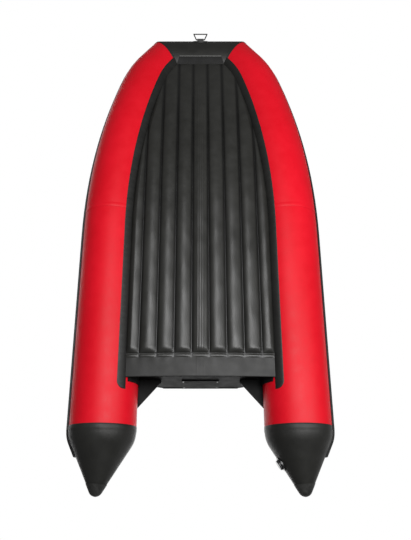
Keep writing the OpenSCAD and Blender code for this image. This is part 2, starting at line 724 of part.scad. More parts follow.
module valve_plunger() {
  stem_low = valve_low - 3;
  color(grey) {
    translate([0, 0, stem_low]) cylinder(r = stem_r, h = 3 - stem_low);
    translate([0, 0, stem_low]) cylinder(r = valve_barrel_r - 6, h = 2.8);
    translate([0, 0, -0.5]) difference() {
      cylinder(r = 6.5, h = 4);
      translate([0, 0, -1]) cylinder(r = 5, h = 3.5);
    }
  }
}
module valve_cap() {
  color(black) difference() {
    union() {
      translate([0, 0, 5.3]) cylinder(r = valve_cap_r, h = valve_cap_h - 2);
      translate([0, 0, 3.3 + valve_cap_h]) cylinder(r1 = valve_cap_r, r2 = valve_cap_r - 3, h = 2);
    }
    translate([0, 0, 4]) cylinder(r = valve_barrel_r - 4, h = valve_cap_h - 3);
    for (a = [0 : 30 : 330]) rotate(a) translate([valve_cap_r + 1.5, 0, 4]) cylinder(r = 3, h = 8);
  }
}
module port_valve_body() {
  color(black) {
    port_valve_frame() valve_body();
    difference() {
      port_valve_frame() valve_base();
      at_cone() cone_solid(gap);
      port_valve_frame() valve_base_hole();
    }
  }
}
module starboard_valve_body() {
  color(black) {
    starboard_valve_frame() valve_body();
    difference() {
      starboard_valve_frame() valve_base();
      starboard() tube_bar(tube_r + gap);
      starboard_valve_frame() valve_base_hole();
    }
  }
}
module bow_valve_body() {
  color(black) {
    bow_valve_frame() valve_body();
    difference() {
      bow_valve_frame() valve_base();
      bow_bar(tube_r + gap);
      bow_valve_frame() valve_base_hole();
    }
  }
}
module floor_valve_body() {
  color(black) floor_valve_frame() {
    valve_body();
    translate([0, 0, gap]) difference() {
      cylinder(r = valve_base_r - 10, h = valve_foot_t - gap);
      translate([0, 0, -5]) cylinder(r = valve_barrel_r - 1, h = 20);
    }
  }
}
module port_valve_plunger() { port_valve_frame() valve_plunger(); }
module starboard_valve_plunger() { starboard_valve_frame() valve_plunger(); }
module bow_valve_plunger() { bow_valve_frame() valve_plunger(); }
module floor_valve_plunger() { floor_valve_frame() valve_plunger(); }
module port_valve_cap() { port_valve_frame() valve_cap(); }
module starboard_valve_cap() { starboard_valve_frame() valve_cap(); }
module bow_valve_cap() { bow_valve_frame() valve_cap(); }
module floor_valve_cap() { floor_valve_frame() valve_cap(); }

// Rowlocks
module port_rowlock_frame() { boat() translate([tube_x, -rowlock_f, tube_z + tube_r]) children(); }
module port_rowlock_base() {
  color(black) difference() {
    port_rowlock_frame() {
      translate([0, 0, -12]) cylinder(r = rowlock_base_r, h = 12 + rowlock_foot_t);
      translate([0, 0, rowlock_foot_t])
        cylinder(r1 = rowlock_base_r - 10, r2 = rowlock_neck_r, h = rowlock_step_h);
      translate([0, 0, rowlock_foot_t + rowlock_step_h]) cylinder(r = rowlock_neck_r, h = rowlock_step_h);
    }
    tube_bar(tube_r + gap);
    port_rowlock_frame() translate([0, 0, 8]) cylinder(r = pin_r + pin_gap, h = 60);
  }
}
module starboard_rowlock_base() { starboard() port_rowlock_base(); }
module port_rowlock_pin() {
  color(steel) port_rowlock_frame() translate([0, 0, 8.3]) {
    cylinder(r = pin_r, h = 32 + pin_h);
    translate([0, 0, 24]) cylinder(r = 15, h = 4);
    translate([0, 0, 32 + pin_h]) cylinder(r1 = pin_r, r2 = pin_r - 2, h = 2);
  }
}
module starboard_rowlock_pin() { starboard() port_rowlock_pin(); }

// Benches. A track's frame has its origin on the tube, +Y aft and +Z out of the skin.
module port_track_frame() {
  boat() translate(path_seam) rotate([0, track_deg - 90, 0]) translate([0, 0, tube_r]) children();
}
bead_z = 11;
module port_bench_track() {
  color(black) difference() {
    port_track_frame() translate([0, -track_f0, 0]) rotate([90, 0, 0]) linear_extrude(track_f1 - track_f0) {
      translate([-20, -3]) square([40, 5.5]);
      translate([-1.5, 0]) square([3, bead_z]);
      translate([0, bead_z]) circle(bead_r, $fn = 32);
    }
    tube_bar(tube_r + gap);
    at_bend1() arc(bend1_r, 2) circle(tube_r + gap, $fn = fine);
  }
}
module starboard_bench_track() { starboard() port_bench_track(); }
module bench_shoe(f) {
  port_track_frame() translate([0, -f + bench_w * 0.4, 0]) rotate([90, 0, 0])
    linear_extrude(bench_w * 0.8) difference() {
    translate([-11, 4.5]) square([22, bead_z + bead_r - 1]);
    translate([0, bead_z]) circle(bead_r + slide_gap, $fn = 32);
    translate([-1.5 - slide_gap, 0]) square([3 + 2 * slide_gap, bead_z]);
  }
}
bead_x = tube_x - (tube_r + bead_z) * cos(track_deg);
bead_height = tube_z + (tube_r + bead_z) * sin(track_deg);
bench_z = bead_height + 17;
module bench(f) {
  half = bead_x + 26;
  boat() translate([0, -f, bench_z]) {
    linear_extrude(bench_t) difference() {
      square([2 * half, bench_w], center = true);
      for (sx = [-1, 1], sy = [-1, 1]) translate([sx * half, sy * bench_w / 2]) difference() {
        square(50, center = true);
        translate([-sx * 25, -sy * 25]) circle(25);
      }
    }
  }
  for (side = [0, 1]) mirror([side, 0, 0]) {
    bench_shoe(f);
    difference() {
      boat() translate([bead_x - 16, -f - bench_w * 0.4, bench_z - 16]) cube([34, bench_w * 0.8, 16.5]);
      port_track_frame() translate([-11 - 1, -big / 2, -10]) cube([22 + 2, big, 10 + bead_z + bead_r + 2]);
      port_track_frame() translate([-21, -big / 2, -10]) cube([42, big, 14]);
      tube_bar(tube_r + 2);
    }
    intersection() {
      boat() translate([bead_x - 30, -f - bench_w * 0.4, bench_z - 30]) cube([60, bench_w * 0.8, 30.5]);
      port_track_frame() translate([-11, -big / 2, bead_z + bead_r + 1]) cube([22, big, 30]);
    }
  }
}
module aft_bench() { color(grey) bench(aft_bench_f); }
module fore_bench() { color(grey) bench(fore_bench_f); }

// Towing eye on the lower front of the bow tube. Its frame has +Z out of the skin and X across the boat.
module at_eye() { at_bow() rotate([90 + eye_deg, 0, 0]) translate([0, 0, tube_r]) children(); }
patch_r = 52;
module tow_patch() {
  color(black) difference() {
    at_eye() translate([0, 0, -12]) cylinder(r = patch_r, h = 12 + patch_t);
    bow_bar(tube_r + gap);
  }
}
module tow_eye() {
  color(black) at_eye() difference() {
    rotate([90, 0, 90]) translate([0, 0, -eye_half]) linear_extrude(2 * eye_half) {
      translate([-22, patch_t + gap]) square([44, 3]);
      translate([0, pivot_z]) circle(ring_wire_r + eye_wall, $fn = 48);
      translate([-10, patch_t + gap]) square([20, pivot_z - patch_t - gap]);
    }
    translate([-big / 2, 0, pivot_z]) rotate([0, 90, 0]) cylinder(r = ring_wire_r + pin_gap, h = big);
  }
}
module wire(a, b) {
  d = b - a;
  translate(a) rotate([0, acos(d.z / norm(d)), atan2(d.y, d.x)]) cylinder(r = ring_wire_r, h = norm(d));
}
function ring_corners() = [[-eye_half - 6, 0, 0], [eye_half + 6, 0, 0], [ring_w / 2 - ring_wire_r, 0, -ring_len],
  [-ring_w / 2 + ring_wire_r, 0, -ring_len]];
module at_ring() { at_eye() translate([0, 0, pivot_z]) rotate([-90 - eye_deg, 0, 0]) children(); }
module tow_ring() {
  c = ring_corners();
  color(steel) at_ring() for (i = [0 : 3]) {
    wire(c[i], c[(i + 1) % 4]);
    translate(c[i]) sphere(ring_wire_r);
  }
}

// Carry handles: an arched grip whose ends are let into two feet glued to the tube.
grip_r = 8;
foot_r = 22;
grip_arc_r = (pow(handle_span / 2, 2) + handle_rise * handle_rise) / (2 * handle_rise);
grip_half_deg = asin(handle_span / 2 / grip_arc_r);
module handle() {
  translate([0, 0, 4 + handle_rise - grip_arc_r]) rotate([90, 0, 0]) rotate([0, 0, 90 - grip_half_deg])
    rotate_extrude(angle = 2 * grip_half_deg) translate([grip_arc_r, 0]) circle(grip_r, $fn = 48);
  for (s = [-1, 1]) translate([s * handle_span / 2, 0, -6]) cylinder(r = foot_r, h = 20);
}
module bow_handle() {
  color(black) difference() {
    at_bow() rotate([bow_handle_tilt, 0, 0]) translate([0, 0, tube_r]) handle();
    bow_bar(tube_r + gap);
  }
}
bow_handle_tilt = 12;
side_handle_deg = (handle_f - straight_len) / bend1_r * 180 / PI;
module port_handle() {
  color(black) difference() {
    at_bend1() past_arc(bend1_r, side_handle_deg) rotate([0, 90 - side_handle_up - sheer_deg, 0])
      translate([0, 0, tube_r]) rotate(90) handle();
    at_bend1() arc(bend1_r, bend1_deg) circle(tube_r + gap, $fn = fine);
  }
}
side_handle_up = 40;
module starboard_handle() { starboard() port_handle(); }

port_aft_tube();
starboard_aft_tube();
port_fore_tube();
starboard_fore_tube();
bow_tube();
port_cone();
starboard_cone();
port_cone_cap();
starboard_cone_cap();
port_baffle();
starboard_baffle();
port_strake();
starboard_strake();
bow_strake();
port_floor_tape();
starboard_floor_tape();
bow_floor_tape();
floor_bottom_skin();
floor_top_skin();
floor_webs();
floor_end_strip();
stern_flap();
keel_tape();
transom_board();
transom_trim();
outer_motor_plate();
inner_motor_plate();
transom_screws();
port_transom_holder();
starboard_transom_holder();
port_gusset();
starboard_gusset();
drain_body();
drain_plug();
port_valve_body();
starboard_valve_body();
bow_valve_body();
floor_valve_body();
port_valve_plunger();
starboard_valve_plunger();
bow_valve_plunger();
floor_valve_plunger();
port_valve_cap();
starboard_valve_cap();
bow_valve_cap();
floor_valve_cap();
port_rowlock_base();
starboard_rowlock_base();
port_rowlock_pin();
starboard_rowlock_pin();
port_bench_track();
starboard_bench_track();
aft_bench();
fore_bench();
tow_patch();
tow_eye();
tow_ring();
bow_handle();
port_handle();
starboard_handle();
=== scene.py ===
"""Looks of the inflatable dinghy, in the CAD's frame: fabric tubes, a ribbed air floor, black fittings."""

import json
import math

import bpy
import numpy as np
from mathutils import Matrix, Vector


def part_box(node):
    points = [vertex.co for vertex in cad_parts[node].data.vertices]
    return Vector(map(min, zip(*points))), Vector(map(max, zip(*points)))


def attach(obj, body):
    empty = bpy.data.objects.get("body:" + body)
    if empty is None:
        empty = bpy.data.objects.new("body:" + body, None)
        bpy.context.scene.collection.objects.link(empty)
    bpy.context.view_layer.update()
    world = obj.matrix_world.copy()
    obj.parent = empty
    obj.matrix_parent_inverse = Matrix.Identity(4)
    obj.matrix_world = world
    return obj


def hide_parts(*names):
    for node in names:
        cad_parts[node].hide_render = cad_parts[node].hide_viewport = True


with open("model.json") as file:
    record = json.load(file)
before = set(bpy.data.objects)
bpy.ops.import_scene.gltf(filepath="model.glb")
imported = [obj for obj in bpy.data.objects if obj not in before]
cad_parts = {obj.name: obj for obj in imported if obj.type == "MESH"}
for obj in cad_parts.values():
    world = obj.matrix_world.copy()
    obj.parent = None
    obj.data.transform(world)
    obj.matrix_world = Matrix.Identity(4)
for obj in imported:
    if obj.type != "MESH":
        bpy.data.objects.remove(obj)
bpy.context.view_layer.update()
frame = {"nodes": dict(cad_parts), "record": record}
NODES = frame["nodes"]

# ---------------------------------------------------------------- sizes, in metres and radians
TUBE_R = 0.190
TUBE_X = 0.5518
TUBE_Z = 0.1912
SEAM_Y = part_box("port_cone")[0][1] + 0.022
STRAIGHT = 1.200
BEND1_R, BEND1 = 3.770, math.radians(18.5)
BEND2_R, BEND2 = 0.672, math.radians(15.1)
STUB = 0.122
SHEER = math.radians(27.6)
PANEL_S = 1.337
LAP = 0.022
CONE_LEN = 0.347
CONE_ANGLE = math.radians(28.8)
CONE_SHOULDER = 0.164
CONE_TOE, CONE_DROOP = math.radians(3.2), math.radians(2.5)
TAPE_ANGLE = math.radians(28.0)
TAPE_SPAN = 0.044 / TUBE_R
CELL = 0.100
FLOOR_AFT = 0.385
FLAP_AFT = 0.277
FLOOR_Z = 0.031
FLOOR_THICK = 0.070
CROWN_UNDER, CROWN_OVER = -0.022, 0.013
END_BAND, END_CREASE = 0.024, 0.027
FLAP_HEM = 0.0018
BOW_LAP, BOW_LAP_FOOT = 0.012, 0.0125
SKIN_LINES, CONE_LINES = 216, 192
RIDGES = (-0.018, -0.006, 0.006, 0.018)
THREAD = 0.0011
CAMERA_TILT = math.radians(21.34)
CAMERA_AFT, CAMERA_LOW = 0.386, 3.291
STUDIO_HALF = 60.0

# ---------------------------------------------------------------- camera and stage


def make_camera():
    """The camera under the hull, looking up and slightly forward, as the photo was taken."""
    data = bpy.data.cameras.new("camera")
    data.lens = 40.0
    data.sensor_width = 36.0
    data.shift_x = 0.0094
    camera = bpy.data.objects.new("camera", data)
    look = Vector((0.0, -math.sin(CAMERA_TILT), math.cos(CAMERA_TILT)))
    up = Vector((0.0, -math.cos(CAMERA_TILT), -math.sin(CAMERA_TILT)))
    turn = Matrix((look.cross(up), up, -look)).transposed()
    camera.matrix_world = Matrix.Translation((0.0, SEAM_Y + CAMERA_AFT, -CAMERA_LOW)) @ turn.to_4x4()
    bpy.context.scene.collection.objects.link(camera)
    bpy.context.scene.camera = camera


def aimed_light(name, kind, location, target, power):
    data = bpy.data.lights.new(name, kind)
    data.energy = power
    light = bpy.data.objects.new(name, data)
    light.location = location
    light.rotation_mode = "QUATERNION"
    light.rotation_quaternion = (Vector(target) - Vector(location)).to_track_quat("-Z", "Y")
    light.visible_camera = False
    bpy.context.scene.collection.objects.link(light)
    return data


def soft_box(name, location, size, power):
    """A soft box under the hull. Its light is not passed on, so the pale floor gets none of it."""
    data = aimed_light(name, "AREA", location, (0.0, 0.0, 0.2), power)
    data.shape = "RECTANGLE"
    data.size, data.size_y = size
    data.cycles.max_bounces = 0


def wide_sun(name, location, power, angle):
    data = aimed_light(name, "SUN", location, (0.0, 0.0, 0.0), power)
    data.angle = math.radians(angle)


def make_world():
    world = bpy.data.worlds.new("studio")
    bpy.context.scene.world = world
    world.use_nodes = True
    nodes, links = world.node_tree.nodes, world.node_tree.links
    nodes.clear()
    out = nodes.new("ShaderNodeOutputWorld")
    mix = nodes.new("ShaderNodeMixShader")
    seen = nodes.new("ShaderNodeBackground")
    seen.inputs["Color"].default_value = (1, 1, 1, 1)
    seen.inputs["Strength"].default_value = 1.0
    fill = nodes.new("ShaderNodeBackground")
    fill.inputs["Color"].default_value = (1, 1, 1, 1)
    fill.inputs["Strength"].default_value = 0.15
    path = nodes.new("ShaderNodeLightPath")
    links.new(path.outputs["Is Camera Ray"], mix.inputs["Fac"])
    links.new(fill.outputs[0], mix.inputs[1])
    links.new(seen.outputs[0], mix.inputs[2])
    links.new(mix.outputs[0], out.inputs["Surface"])


def make_floor():
    """A pale studio floor, seen from above only, so that the view from below looks straight at the hull."""
    mesh = bpy.data.meshes.new("studio_floor")
    half = STUDIO_HALF
    corners = [(-half, -half, 0), (half, -half, 0), (half, half, 0), (-half, half, 0)]
    mesh.from_pydata(corners, [], [(0, 1, 2, 3)])
    floor = bpy.data.objects.new("studio_floor", mesh)
    bpy.context.scene.collection.objects.link(floor)
    material = bpy.data.materials.new("studio_floor")
    material.use_nodes = True
    nodes, links = material.node_tree.nodes, material.node_tree.links
    nodes.clear()
    out = nodes.new("ShaderNodeOutputMaterial")
    mix = nodes.new("ShaderNodeMixShader")
    paint = nodes.new("ShaderNodeBsdfDiffuse")
    paint.inputs["Color"].default_value = (0.70, 0.70, 0.70, 1)
    clear = nodes.new("ShaderNodeBsdfTransparent")
    side = nodes.new("ShaderNodeNewGeometry")
    links.new(side.outputs["Backfacing"], mix.inputs["Fac"])
    glow = nodes.new("ShaderNodeEmission")
    glow.inputs["Strength"].default_value = 0.24
    both = nodes.new("ShaderNodeAddShader")
    links.new(paint.outputs[0], both.inputs[0])
    links.new(glow.outputs[0], both.inputs[1])
    links.new(both.outputs[0], mix.inputs[1])
    links.new(clear.outputs[0], mix.inputs[2])
    links.new(mix.outputs[0], out.inputs["Surface"])
    mesh.materials.append(material)
    floor.visible_shadow = False
    floor.visible_glossy = False
    floor.visible_diffuse = False


# ---------------------------------------------------------------- materials


class Shader:
    """A small helper that adds nodes to one material."""

    def __init__(self, name):
        self.material = bpy.data.materials.new(name)
        self.material.use_nodes = True
        self.tree = self.material.node_tree
        self.tree.nodes.clear()
        self.out = self.add("ShaderNodeOutputMaterial")
        self.bsdf = self.add("ShaderNodeBsdfPrincipled")
        self.link(self.bsdf.outputs[0], self.out.inputs["Surface"])

    def add(self, kind, **values):
        node = self.tree.nodes.new(kind)
        for key, value in values.items():
            if key in node.inputs:
                node.inputs[key].default_value = value
            else:
                setattr(node, key, value)
        return node

    def link(self, a, b):
        self.tree.links.new(a, b)

    def math(self, operation, a, b=None):
        node = self.add("ShaderNodeMath", operation=operation)
        for i, value in enumerate((a, b)):
            if value is None:
                continue
            if isinstance(value, (int, float)):
                node.inputs[i].default_value = value
            else:
                self.link(value, node.inputs[i])
        return node.outputs[0]

    def noise(self, where, scale, detail, roughness=0.5):
        node = self.add("ShaderNodeTexNoise")
        node.inputs["Scale"].default_value = scale
        node.inputs["Detail"].default_value = detail
        node.inputs["Roughness"].default_value = roughness
        self.link(where, node.inputs["Vector"])
        return node.outputs["Fac"]

    def ramp(self, value, low, high, out_low=0.0, out_high=1.0):
        node = self.add("ShaderNodeMapRange")
        node.inputs["From Min"].default_value = low
        node.inputs["From Max"].default_value = high
        node.inputs["To Min"].default_value = out_low
        node.inputs["To Max"].default_value = out_high
        self.link(value, node.inputs["Value"])
        return node.outputs[0]

    def mix_colour(self, factor, a, b):
        node = self.add("ShaderNodeMix", data_type="RGBA")
        self.link(factor, node.inputs["Factor"])
        colour_a = [s for s in node.inputs if s.name == "A" and s.type == "RGBA"][0]
        colour_b = [s for s in node.inputs if s.name == "B" and s.type == "RGBA"][0]
        for socket, value in ((colour_a, a), (colour_b, b)):
            if isinstance(value, (tuple, list)):
                socket.default_value = (*value, 1)
            else:
                self.link(value, socket)
        return [s for s in node.outputs if s.type == "RGBA"][0]

    def place(self):
        return self.add("ShaderNodeTexCoord").outputs["Object"]

    def flat(self):
        """The piece's own map: metres round it and metres along it."""
        return self.add("ShaderNodeUVMap", uv_map="fabric").outputs["UV"]

    def bump(self, heights):
        """Chains bumps, each given as (height, distance in metres)."""
        normal = None
        for height, distance in heights:
            node = self.add("ShaderNodeBump")
            node.inputs["Strength"].default_value = 1.0
            node.inputs["Distance"].default_value = distance
            self.link(height, node.inputs["Height"])
            if normal is not None:
                self.link(normal, node.inputs["Normal"])
            normal = node.outputs["Normal"]
        self.link(normal, self.bsdf.inputs["Normal"])

    def bevelled_bump(self, height, distance, radius):
        """One bump over edges that look rounded to radius metres."""
        edge = self.add("ShaderNodeBevel")
        edge.samples = 3
        edge.inputs["Radius"].default_value = radius
        node = self.add("ShaderNodeBump")
        node.inputs["Distance"].default_value = distance
        self.link(height, node.inputs["Height"])
        self.link(edge.outputs[0], node.inputs["Normal"])
        self.link(node.outputs["Normal"], self.bsdf.inputs["Normal"])


def coated_fabric(name, colour, dark, roughness, mapped=True, shine=0.5, seams=0.0):
    """Coated boat fabric: a faint thread grid under a satin skin, slow unevenness, and, where seams is given,
    painted shade darkening the valleys along the cell seams.
    """
    s = Shader(name)
    place = s.place()
    slow = s.noise(place, 2.2, 2.0)
    cloud = s.noise(place, 14.0, 4.0, 0.6)
    fine = s.noise(place, 900.0, 2.0)
    tone = s.math("ADD", s.math("MULTIPLY", slow, 0.6), s.math("MULTIPLY", cloud, 0.4))
    base = s.mix_colour(s.ramp(tone, 0.35, 0.68), dark, colour)
    # Painted shade: the colour darkens towards near-black over the outer third of each cell, in the valleys
    # where the ribs meet. A noise varies its strength a little.
    if seams:
        across = s.add("ShaderNodeSeparateXYZ")
        s.link(place, across.inputs[0])
        cell = s.math("FRACT", s.math("ADD", s.math("DIVIDE", across.outputs["X"], CELL), 100.5))
        cell = s.math("MULTIPLY", s.math("ABSOLUTE", s.math("SUBTRACT", cell, 0.5)), 2.0)
        seam_valley_shade = s.math("MULTIPLY", s.ramp(cell, 0.66, 0.96), s.ramp(cloud, 0.2, 0.6, 0.75, 1.0))
        base = s.mix_colour(s.math("MULTIPLY", seam_valley_shade, seams), base, (0.002, 0.002, 0.002))
    s.link(base, s.bsdf.inputs["Base Color"])
    s.link(s.ramp(cloud, 0.3, 0.7, roughness - 0.05, roughness + 0.07), s.bsdf.inputs["Roughness"])
    s.bsdf.inputs["Specular IOR Level"].default_value = shine
    heights = [(s.noise(place, 9.0, 2.0), 0.0006), (fine, 0.00003)]
    if mapped:
        split = s.add("ShaderNodeSeparateXYZ")
        s.link(s.flat(), split.inputs[0])
        thread = 2 * math.pi / THREAD
        over = s.math("SINE", s.math("MULTIPLY", split.outputs["X"], thread))
        under = s.math("SINE", s.math("MULTIPLY", split.outputs["Y"], thread))
        heights.append((s.math("MULTIPLY", over, under), 0.00005))
    s.bump(heights)
    return s.material


def moulded_rubber(name, colour, roughness, shine=0.5):
    s = Shader(name)
    s.bsdf.inputs["Specular IOR Level"].default_value = shine
    place = s.place()
    grain = s.noise(place, 1400.0, 3.0)
    bloom = s.noise(place, 25.0, 4.0, 0.65)
    lighter = tuple(min(1.0, c * 2.2 + 0.004) for c in colour)
    s.link(s.mix_colour(s.ramp(bloom, 0.42, 0.72), colour, lighter), s.bsdf.inputs["Base Color"])
    s.link(s.ramp(bloom, 0.3, 0.7, roughness - 0.06, roughness + 0.1), s.bsdf.inputs["Roughness"])
    s.bump([(bloom, 0.0001), (grain, 0.00004)])
    return s.material


def moulded_plastic(name, colour, roughness, texture=0.00008, shine=0.5):
    s = Shader(name)
    s.bsdf.inputs["Specular IOR Level"].default_value = shine
    place = s.place()
    grain = s.add("ShaderNodeTexVoronoi")
    grain.inputs["Scale"].default_value = 700.0
    s.link(place, grain.inputs["Vector"])
    cloud = s.noise(place, 18.0, 4.0, 0.6)
    darker = tuple(c * 0.75 for c in colour)
    s.link(s.mix_colour(s.ramp(cloud, 0.3, 0.7), darker, colour), s.bsdf.inputs["Base Color"])
    s.link(s.ramp(cloud, 0.3, 0.7, roughness - 0.05, roughness + 0.08), s.bsdf.inputs["Roughness"])
    s.bevelled_bump(grain.outputs["Distance"], texture, 0.0012)
    return s.material


def coated_wire(name):
    """Steel wire under a thin black coat, rubbed a little brighter where it bears."""
    s = Shader(name)
    place = s.place()
    rubbed = s.noise(place, 60.0, 4.0, 0.65)
    coat = s.mix_colour(s.ramp(rubbed, 0.55, 0.8), (0.012, 0.012, 0.012), (0.07, 0.07, 0.07))
    s.link(coat, s.bsdf.inputs["Base Color"])
    s.link(s.ramp(rubbed, 0.3, 0.7, 0.28, 0.42), s.bsdf.inputs["Roughness"])
    s.bump([(s.noise(place, 500.0, 2.0), 0.00004)])
    return s.material


def brushed_steel(name):
    s = Shader(name)
    place = s.place()
    stretch = s.add("ShaderNodeMapping")
    stretch.inputs["Scale"].default_value = (900.0, 900.0, 30.0)
    s.link(place, stretch.inputs["Vector"])
    lines = s.noise(stretch.outputs[0], 1.0, 3.0)
    smear = s.noise(place, 40.0, 3.0)
    metal = s.mix_colour(s.ramp(smear, 0.3, 0.7), (0.5, 0.5, 0.51), (0.68, 0.68, 0.69))
    s.link(metal, s.bsdf.inputs["Base Color"])
    s.bsdf.inputs["Metallic"].default_value = 1.0
    s.link(s.ramp(lines, 0.3, 0.7, 0.2, 0.36), s.bsdf.inputs["Roughness"])
    s.bump([(lines, 0.00003)])
    return s.material


def painted_board(name, colour):
    """Painted marine ply: long grain showing faintly through a satin paint."""
    s = Shader(name)
    place = s.place()
    stretch = s.add("ShaderNodeMapping")
    stretch.inputs["Scale"].default_value = (6.0, 120.0, 120.0)
    s.link(place, stretch.inputs["Vector"])
    grain = s.noise(stretch.outputs[0], 1.0, 6.0, 0.6)
    scuff = s.noise(place, 9.0, 6.0, 0.7)
    darker = tuple(c * 0.8 for c in colour)
    s.link(s.mix_colour(s.ramp(scuff, 0.35, 0.65), darker, colour), s.bsdf.inputs["Base Color"])
    s.link(s.ramp(scuff, 0.3, 0.7, 0.42, 0.6), s.bsdf.inputs["Roughness"])
    s.bevelled_bump(grain, 0.0003, 0.002)
    return s.material


RED = coated_fabric("red_fabric", (0.64, 0.003, 0.014), (0.56, 0.002, 0.010), 0.46, shine=0.22)
BLACK = coated_fabric("black_fabric", (0.015, 0.015, 0.0135), (0.010, 0.010, 0.009), 0.48, shine=0.35)
# The floor's seams value paints shade into the valleys between its ribs.
FLOOR = coated_fabric("floor_fabric", (0.022, 0.022, 0.020), (0.014, 0.014, 0.0125), 0.36, seams=0.92)
FLAP = coated_fabric("flap_fabric", (0.012, 0.012, 0.011), (0.008, 0.008, 0.0075), 0.48, shine=0.35)
APRON = coated_fabric("apron_fabric", (0.008, 0.008, 0.0075), (0.005, 0.005, 0.005), 0.62, shine=0.2)
EDGE = coated_fabric("tape_edge", (0.11, 0.11, 0.105), (0.08, 0.08, 0.075), 0.5)
DECK = coated_fabric("deck_fabric", (0.085, 0.085, 0.088), (0.065, 0.065, 0.068), 0.55)
TAPE = coated_fabric("tape_fabric", (0.028, 0.028, 0.026), (0.019, 0.019, 0.018), 0.5, mapped=False)
SIDE_TAPE = coated_fabric("side_tape", (0.012, 0.012, 0.011), (0.008, 0.008, 0.0075), 0.48, shine=0.35)
INNER = coated_fabric("inner_fabric", (0.075, 0.075, 0.078), (0.06, 0.06, 0.062), 0.6, mapped=False)
STRAKE = moulded_rubber("strake_rubber", (0.006, 0.006, 0.006), 0.55, shine=0.15)
RUBBER = moulded_rubber("moulded_rubber", (0.013, 0.013, 0.012), 0.52)
PLASTIC = moulded_plastic("black_plastic", (0.006, 0.006, 0.006), 0.6, shine=0.15)
VALVE = moulded_plastic("valve_plastic", (0.012, 0.012, 0.013), 0.3, 0.00003)
PLUG = moulded_plastic("plug_plastic", (0.45, 0.012, 0.02), 0.3, 0.00003)
STEEL = brushed_steel("steel")
WIRE = coated_wire("black_steel")
BENCH = painted_board("bench_paint", (0.11, 0.11, 0.115))

SLOT_MATERIALS = {
    "red_fabric": RED,
    "black_fabric": BLACK,
    "floor_fabric": FLOOR,
    "floor_top": DECK,
    "grey_tape": TAPE,
    "inner_fabric": INNER,
    "strake_rubber": STRAKE,
    "moulded_rubber": RUBBER,
    "black_plastic": PLASTIC,
    "valve_plastic": VALVE,
    "plug_plastic": PLUG,
    "steel": STEEL,
    "black_steel": WIRE,
    "bench_plastic": BENCH,
}


# ---------------------------------------------------------------- the tubes' path


def heading(t):
    return np.array([-math.sin(t) * math.cos(SHEER), -math.cos(t), math.sin(t) * math.sin(SHEER)])


def outward(t):
    return np.array([math.cos(t) * math.cos(SHEER), -math.sin(t), -math.cos(t) * math.sin(SHEER)])


PLANE_UP = np.array([math.sin(SHEER), 0.0, math.cos(SHEER)])
TURN = BEND1 + BEND2
PATH_SEAM = np.array([TUBE_X, SEAM_Y, TUBE_Z])
PATH_A = PATH_SEAM + STRAIGHT * heading(0)
PATH_B = PATH_A + BEND1_R * (outward(BEND1) - outward(0))
PATH_C = PATH_B + BEND2_R * (outward(TURN) - outward(BEND1))
CORNER = PATH_C + STUB * heading(TURN)
MITRE = heading(TURN) + np.array([-1.0, 0.0, 0.0])
MITRE /= np.linalg.norm(MITRE)
SWEEP = STRAIGHT + BEND1_R * BEND1 + BEND2_R * BEND2


def path(s):
    """Centre and turning angle of the port tube, s metres forward of the cone seam."""
    if s <= STRAIGHT:
        return PATH_SEAM + s * heading(0), 0.0
    s -= STRAIGHT
    if s <= BEND1_R * BEND1:
        t = s / BEND1_R
        return PATH_A + BEND1_R * (outward(t) - outward(0)), t
    s -= BEND1_R * BEND1
    t = BEND1 + s / BEND2_R
    return PATH_B + BEND2_R * (outward(t) - outward(BEND1)), t


def spoke(angles, t):
    """Directions from the axis to the skin; the angle counts up from straight outboard."""
    a = np.asarray(angles)[..., None] + SHEER
    return np.cos(a) * outward(t) + np.sin(a) * PLANE_UP


def mitre_ring(angles, r):
    """Where the lines of a side tube of radius r meet the bow tube."""
    e = np.asarray(r)[..., None] * spoke(angles, TURN) if np.ndim(r) else r * spoke(angles, TURN)
    forward = heading(TURN)
    return CORNER + e - (e @ MITRE)[..., None] / (forward @ MITRE) * forward


# ---------------------------------------------------------------- mesh helpers


def smoothstep(x):
    x = np.clip(x, 0, 1)
    return x * x * (3 - 2 * x)


def tube_lines(count):
    """Angles of count lines round a tube, and the metres of fabric to each, back to the first."""
    turns = np.arange(count + 1) * 2 * math.pi / count
    return turns[:-1], turns * TUBE_R


def across_row(x, f, z):
    """Points across the hull, f metres forward of the cone seams."""
    return np.stack([x, np.full_like(x, SEAM_Y - f), z], axis=1)


def make_piece(name, verts, faces, loops_uv, material):
    mesh = bpy.data.meshes.new(name)
    mesh.from_pydata([tuple(v) for v in verts], [], faces)
    layer = mesh.uv_layers.new(name="fabric")
    layer.data.foreach_set("uv", np.asarray(loops_uv, np.float32).ravel())
    mesh.polygons.foreach_set("use_smooth", [True] * len(mesh.polygons))
    mesh.materials.append(material)
    mesh.update()
    piece = bpy.data.objects.new(name, mesh)
    bpy.context.scene.collection.objects.link(piece)
    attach(piece, "hull")
    return piece


def loft(name, rows, u, v, material, closed=True, flip=False):
    """A grid of quads over rows of points; u and v are metres round and along it."""
    rows = np.asarray(rows, float)
    n_rows, n_cols = rows.shape[:2]
    u = np.asarray(u, float)
    v = np.asarray(v, float)
    faces, uvs = [], []
    last = n_cols if closed else n_cols - 1
    for r in range(n_rows - 1):
        for c in range(last):
            d = (c + 1) % n_cols
            quad = [(r, c), (r, d), (r + 1, d), (r + 1, c)]
            spots = [(r, c), (r, c + 1), (r + 1, c + 1), (r + 1, c)]
            if flip:
                quad.reverse()
                spots.reverse()
            faces.append([i * n_cols + j for i, j in quad])
            uvs += [(u[j], v[i]) for i, j in spots]
    return make_piece(name, rows.reshape(-1, 3), faces, uvs, material)


